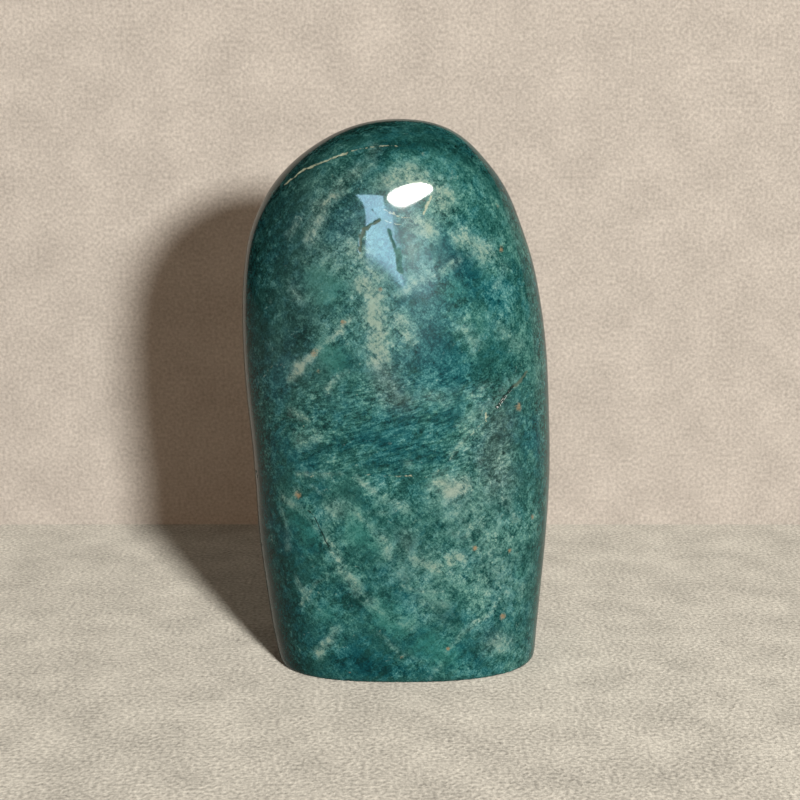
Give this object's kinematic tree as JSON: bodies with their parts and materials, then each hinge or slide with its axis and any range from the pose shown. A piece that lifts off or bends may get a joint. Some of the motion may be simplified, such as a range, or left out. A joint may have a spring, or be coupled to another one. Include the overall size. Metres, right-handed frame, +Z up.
{
  "type": "polished amazonite freeform stone",
  "caption": "Standing slab of mottled green-blue stone, polished, with a domed top and a flat sawn base.",
  "frame": {"origin": "the middle of the stone's box, on the plane of its sawn base", "axes": "+Z up along the height, -Y out of the polished front, +X to the stone's right seen from the front"},
  "size_m": [0.0852, 0.0502, 0.1504],
  "materials": {
    "amazonite": "polished"
  },
  "bodies": {
    "root": {"amazonite_stone": "amazonite"}
  },
  "joints": []
}
